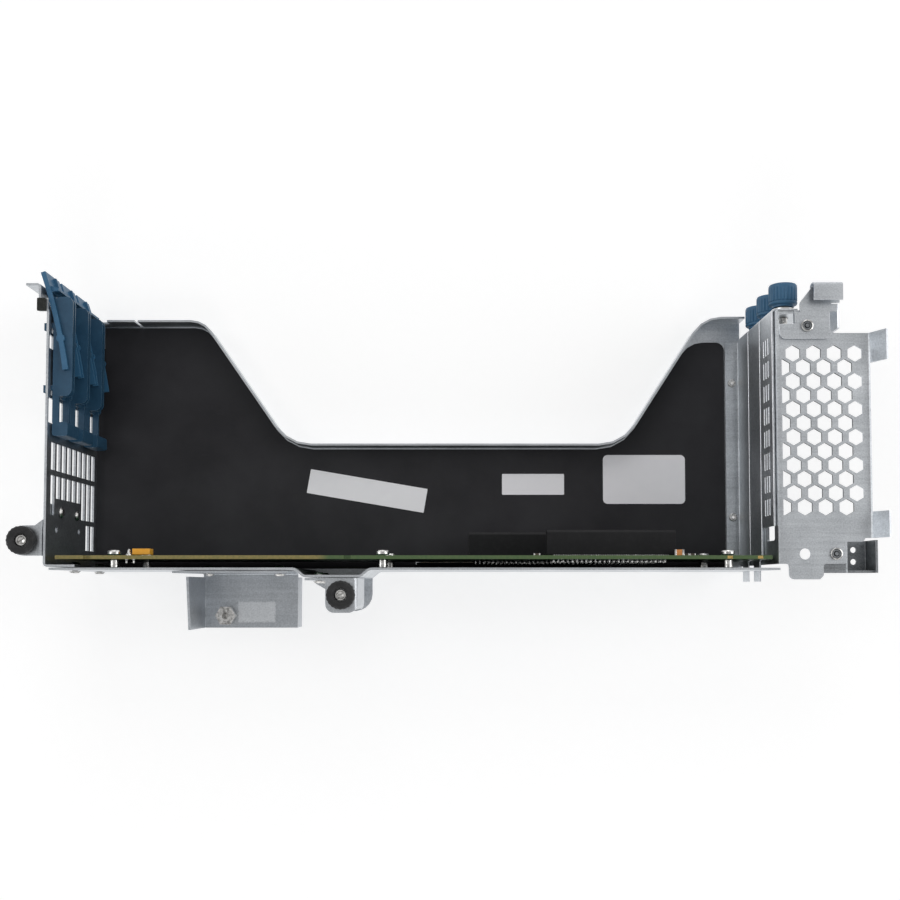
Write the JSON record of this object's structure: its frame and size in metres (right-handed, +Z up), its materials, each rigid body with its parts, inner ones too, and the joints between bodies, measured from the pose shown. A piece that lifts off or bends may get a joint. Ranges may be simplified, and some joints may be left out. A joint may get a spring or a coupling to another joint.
{
  "type": "riser card",
  "caption": "Riser board in a folded steel cage with card latches, slot covers and captive screws, for full-height expansion cards.",
  "frame": {"origin": "on the underside of the floor plate, in the middle of its narrow span", "axes": "+X along the cage from the latch wall to the slot wall, +Y from the riser side wall to the open side, +Z up from the floor plate"},
  "size_m": [0.3722, 0.1545, 0.077],
  "materials": {
    "galvanised_steel": "zinc coated, dull",
    "bright_steel": "plated",
    "black_film": "satin",
    "blue_plastic": "moulded satin",
    "black_plastic": "moulded satin",
    "connector_black": "moulded satin",
    "board_laminate": "solder mask",
    "header_amber": "moulded satin"
  },
  "bodies": {
    "cage": {"cage_base": "galvanised_steel", "insulator_film": "black_film", "front_wall": "galvanised_steel", "front_wall_rivet_1": "bright_steel", "front_wall_rivet_2": "bright_steel", "rear_frame": "galvanised_steel", "rear_rivet_1": "bright_steel", "rear_rivet_2": "bright_steel", "slot_cover_far": "galvanised_steel", "slot_cover_mid": "galvanised_steel", "slot_cover_near": "galvanised_steel", "catch_bracket": "galvanised_steel", "catch_rivet": "bright_steel", "corner_clip": "galvanised_steel", "clip_rivet": "bright_steel", "latch_body_1": "blue_plastic", "latch_body_2": "blue_plastic", "latch_body_3": "blue_plastic", "riser_board": "board_laminate", "slot_connector_1": "connector_black", "slot_connector_2": "connector_black", "slot_connector_3": "connector_black", "power_header": "header_amber", "board_standoff_1": "bright_steel", "board_standoff_2": "bright_steel", "board_standoff_3": "bright_steel", "board_standoff_4": "bright_steel", "board_standoff_5": "bright_steel", "board_standoff_6": "bright_steel", "board_screw_1": "bright_steel", "board_screw_2": "bright_steel", "board_screw_3": "bright_steel", "board_screw_4": "bright_steel", "board_screw_5": "bright_steel", "board_screw_6": "bright_steel", "front_arm": "galvanised_steel", "arm_rivet_1": "bright_steel", "arm_rivet_2": "bright_steel", "middle_bracket": "galvanised_steel", "middle_rivet_1": "bright_steel", "middle_rivet_2": "bright_steel", "side_bracket": "galvanised_steel", "side_rivet_1": "bright_steel", "side_rivet_2": "bright_steel", "side_stud": "bright_steel"},
    "latch_far": {"latch_lever_1": "blue_plastic"},
    "latch_middle": {"latch_lever_2": "blue_plastic"},
    "latch_near": {"latch_lever_3": "blue_plastic"},
    "cover_fastener_far": {"cover_screw_1": "bright_steel", "cover_knob_1": "blue_plastic"},
    "cover_fastener_middle": {"cover_screw_2": "bright_steel", "cover_knob_2": "blue_plastic"},
    "cover_fastener_near": {"cover_screw_3": "bright_steel", "cover_knob_3": "blue_plastic"},
    "captive_front": {"captive_screw_front": "bright_steel", "captive_knob_front": "black_plastic"},
    "captive_middle": {"captive_screw_middle": "bright_steel", "captive_knob_middle": "black_plastic"}
  },
  "joints": [
    {"name": "latch_far_hinge", "type": "hinge", "parent": "cage", "child": "latch_far", "pos_m": [-0.15145, 0.0693, 0.0165], "axis": [0, 0, 1], "range_deg": [-14, 0]},
    {"name": "latch_middle_hinge", "type": "hinge", "parent": "cage", "child": "latch_middle", "pos_m": [-0.15145, 0.0693, 0.03682], "axis": [0, 0, 1], "range_deg": [-14, 0]},
    {"name": "latch_near_hinge", "type": "hinge", "parent": "cage", "child": "latch_near", "pos_m": [-0.15145, 0.0693, 0.05714], "axis": [0, 0, 1], "range_deg": [-14, 0]},
    {"name": "cover_screw_far_turn", "type": "hinge", "parent": "cage", "child": "cover_fastener_far", "pos_m": [0.16205, 0.0808, 0.0165], "axis": [0, 1, 0], "continuous": true},
    {"name": "cover_screw_middle_turn", "type": "hinge", "parent": "cage", "child": "cover_fastener_middle", "pos_m": [0.16205, 0.0808, 0.03682], "axis": [0, 1, 0], "continuous": true},
    {"name": "cover_screw_near_turn", "type": "hinge", "parent": "cage", "child": "cover_fastener_near", "pos_m": [0.16205, 0.0808, 0.05714], "axis": [0, 1, 0], "continuous": true},
    {"name": "captive_front_turn", "type": "hinge", "parent": "cage", "child": "captive_front", "pos_m": [-0.16505, -0.01795, 0.068], "axis": [0, 0, 1], "continuous": true},
    {"name": "captive_middle_turn", "type": "hinge", "parent": "cage", "child": "captive_middle", "pos_m": [-0.02988, -0.0411, 0.068], "axis": [0, 0, 1], "continuous": true}
  ]
}
